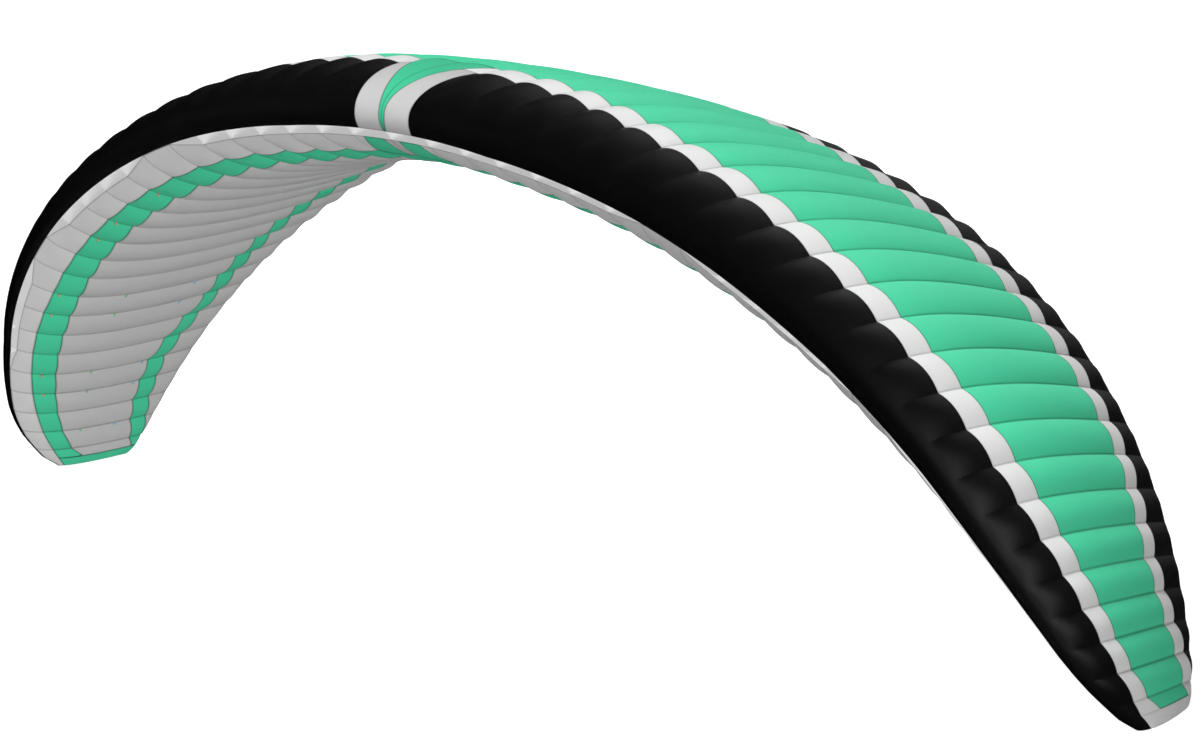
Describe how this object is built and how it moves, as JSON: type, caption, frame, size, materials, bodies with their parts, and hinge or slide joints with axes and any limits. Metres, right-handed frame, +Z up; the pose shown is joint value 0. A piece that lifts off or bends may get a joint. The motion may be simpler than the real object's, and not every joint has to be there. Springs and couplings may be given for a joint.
{
  "type": "paraglider wing",
  "caption": "Arched ram-air paraglider wing of joined cloth cells, with air intakes along its nose and webbing loops below for the lines, standing on its two tips.",
  "frame": {"origin": "under the middle of the wing, at the level of the two tips it stands on", "axes": "+X along the span towards the right tip, -Y towards the nose that meets the wind, +Z up through the top cloth"},
  "size_m": [10.3348, 2.4174, 3.3316],
  "materials": {
    "green_cloth": "thin coated nylon cloth with a fine ripstop grid, soft sheen, mint green",
    "black_cloth": "thin coated nylon cloth with a fine ripstop grid, black with a satin sheen",
    "white_cloth": "thin coated nylon cloth with a fine ripstop grid, white",
    "grey_cloth": "thin coated nylon cloth with a fine ripstop grid, light grey",
    "rib_cloth": "stiffer white coated nylon cloth",
    "tab_orange": "narrow woven webbing, orange",
    "tab_green": "narrow woven webbing, green",
    "tab_blue": "narrow woven webbing, light blue"
  },
  "bodies": {
    "root": {"front_green_left": "green_cloth", "front_green_right": "green_cloth", "front_white_left": "white_cloth", "front_white_right": "white_cloth", "main_green_left": "green_cloth", "main_green_right": "green_cloth", "main_grey_left": "grey_cloth", "main_grey_right": "grey_cloth", "middle_wedge": "green_cloth", "nose_centre_left": "black_cloth", "nose_centre_right": "black_cloth", "nose_grey_left": "grey_cloth", "nose_grey_right": "grey_cloth", "nose_inner_left": "black_cloth", "nose_inner_right": "black_cloth", "nose_outer_left": "black_cloth", "nose_outer_right": "black_cloth", "rear_green_left": "green_cloth", "rear_green_right": "green_cloth", "rear_white_left": "white_cloth", "rear_white_right": "white_cloth", "rib_00_left": "rib_cloth", "rib_00_right": "rib_cloth", "rib_04_left": "rib_cloth", "rib_04_right": "rib_cloth", "rib_08_left": "rib_cloth", "rib_08_right": "rib_cloth", "rib_12_left": "rib_cloth", "rib_12_right": "rib_cloth", "rib_18_left": "rib_cloth", "rib_18_right": "rib_cloth", "rib_22_left": "rib_cloth", "rib_22_right": "rib_cloth", "rib_24_middle": "rib_cloth", "tab_a04_left": "tab_orange", "tab_a04_right": "tab_orange", "tab_a08_left": "tab_orange", "tab_a08_right": "tab_orange", "tab_a12_left": "tab_orange", "tab_a12_right": "tab_orange", "tab_b04_left": "tab_green", "tab_b04_right": "tab_green", "tab_b08_left": "tab_green", "tab_b08_right": "tab_green", "tab_c04_left": "tab_blue", "tab_c04_right": "tab_blue", "tip_top_left": "white_cloth", "tip_top_right": "white_cloth", "tip_under_left": "green_cloth", "tip_under_right": "green_cloth", "trailing_black_left": "black_cloth", "trailing_black_right": "black_cloth", "trailing_grey_left": "grey_cloth", "trailing_grey_right": "grey_cloth", "under_arm_left": "green_cloth", "under_arm_right": "green_cloth", "under_middle": "grey_cloth", "under_nose_left": "grey_cloth", "under_nose_right": "grey_cloth"}
  },
  "joints": []
}
